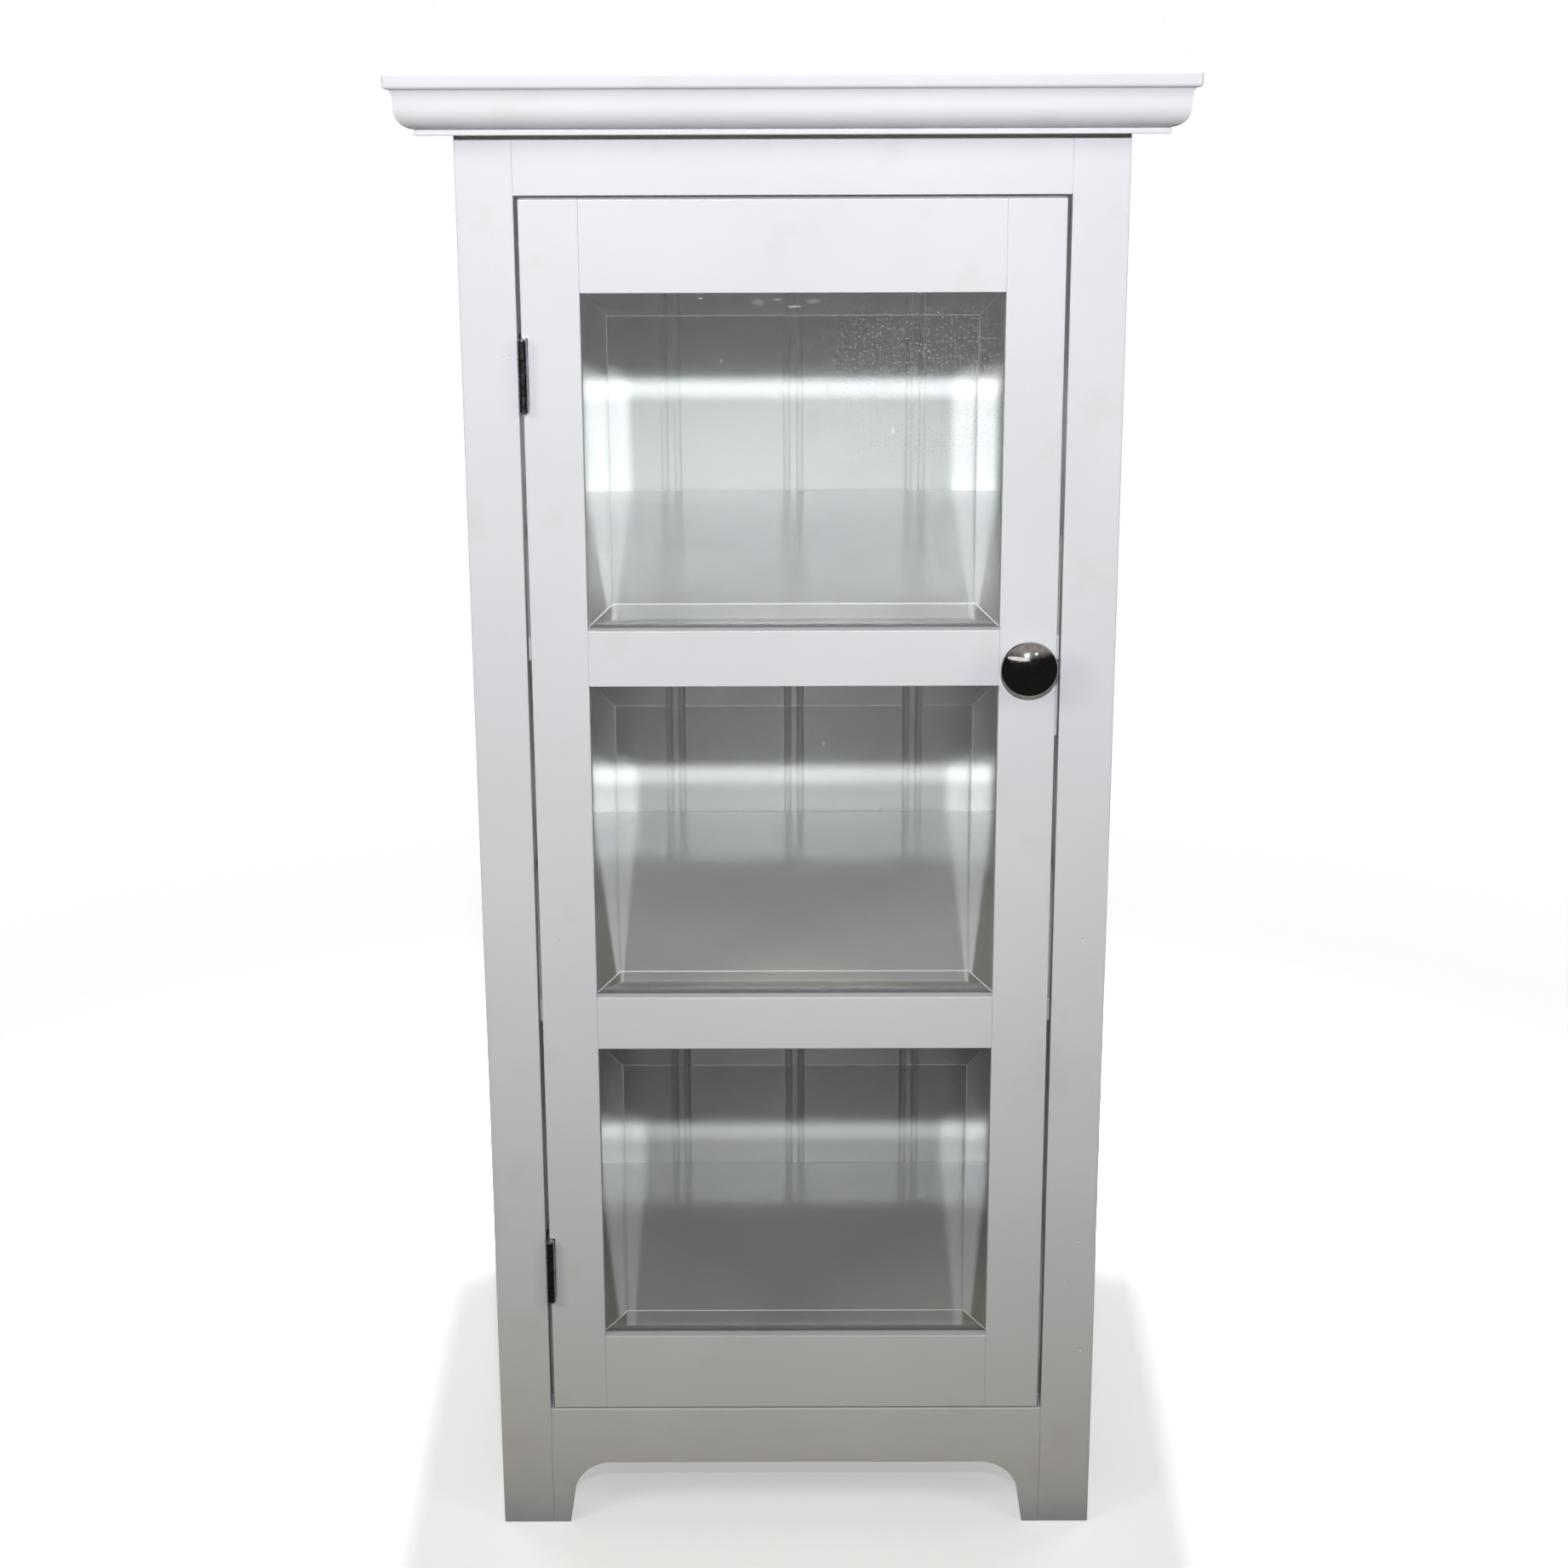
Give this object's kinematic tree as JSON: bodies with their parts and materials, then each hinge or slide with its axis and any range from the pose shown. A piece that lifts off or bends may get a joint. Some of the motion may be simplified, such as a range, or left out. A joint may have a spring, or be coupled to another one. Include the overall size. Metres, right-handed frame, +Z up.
{
  "type": "glazed apothecary cabinet",
  "caption": "Free-standing painted cabinet on four feet, with a moulded top, a hinged glazed door with bevelled panes, shelves and a beadboard back.",
  "frame": {"origin": "On the floor, below the centre of the top board", "axes": "+Z up, the door faces -Y, +X is to the right as seen from the front"},
  "size_m": [0.544, 0.473, 1.139],
  "materials": {
    "white_paint": "satin white paint on wood, lightly worn",
    "raw_wood": "bare softwood",
    "clear_glass": "clear bevelled glass, faintly green",
    "aged_steel": "darkened, with worn plating",
    "bright_steel": "zinc plated",
    "dark_nickel": "polished dark nickel",
    "catch_plastic": "moulded brown plastic",
    "ferrite": "sintered ferrite magnet"
  },
  "bodies": {
    "case": {"left_face_stile": "white_paint", "right_face_stile": "white_paint", "top_face_rail": "white_paint", "apron_rail": "white_paint", "left_side_panel": "white_paint", "right_side_panel": "white_paint", "floor_panel": "white_paint", "case_top_panel": "white_paint", "rear_rail": "white_paint", "beadboard_back": "white_paint", "upper_shelf": "white_paint", "lower_shelf": "white_paint", "cornice_base_panel": "white_paint", "cornice_front_moulding": "white_paint", "cornice_left_moulding": "white_paint", "cornice_right_moulding": "white_paint", "top_board": "white_paint", "face_frame_dowels": "raw_wood", "foot_blocks": "raw_wood", "cornice_back_batten": "raw_wood", "cornice_battens": "raw_wood", "catch_block": "white_paint", "back_panel_screws": "bright_steel", "shelf_pins": "bright_steel", "cornice_screws": "bright_steel", "catch_screws": "bright_steel", "catch_pole_plates": "bright_steel", "upper_hinge_frame_leaf": "aged_steel", "lower_hinge_frame_leaf": "aged_steel", "upper_hinge_pin": "aged_steel", "lower_hinge_pin": "aged_steel", "hinge_frame_screws": "aged_steel", "catch_housing": "catch_plastic", "catch_magnet": "ferrite"},
    "door": {"door_left_stile": "white_paint", "door_right_stile": "white_paint", "door_top_rail": "white_paint", "door_upper_mid_rail": "white_paint", "door_lower_mid_rail": "white_paint", "door_bottom_rail": "white_paint", "upper_glazing_beads": "white_paint", "middle_glazing_beads": "white_paint", "lower_glazing_beads": "white_paint", "door_dowels": "raw_wood", "upper_glass": "clear_glass", "middle_glass": "clear_glass", "lower_glass": "clear_glass", "knob": "dark_nickel", "knob_screw": "bright_steel", "strike_plate": "bright_steel", "strike_screw": "bright_steel", "upper_hinge_door_leaf": "aged_steel", "lower_hinge_door_leaf": "aged_steel", "hinge_door_screws": "aged_steel"}
  },
  "joints": [
    {"name": "door_hinge", "type": "hinge", "parent": "case", "child": "door", "pos_m": [-0.1875, -0.1984, 0.5755], "axis": [0, 0, -1], "range_deg": [0, 180]}
  ]
}
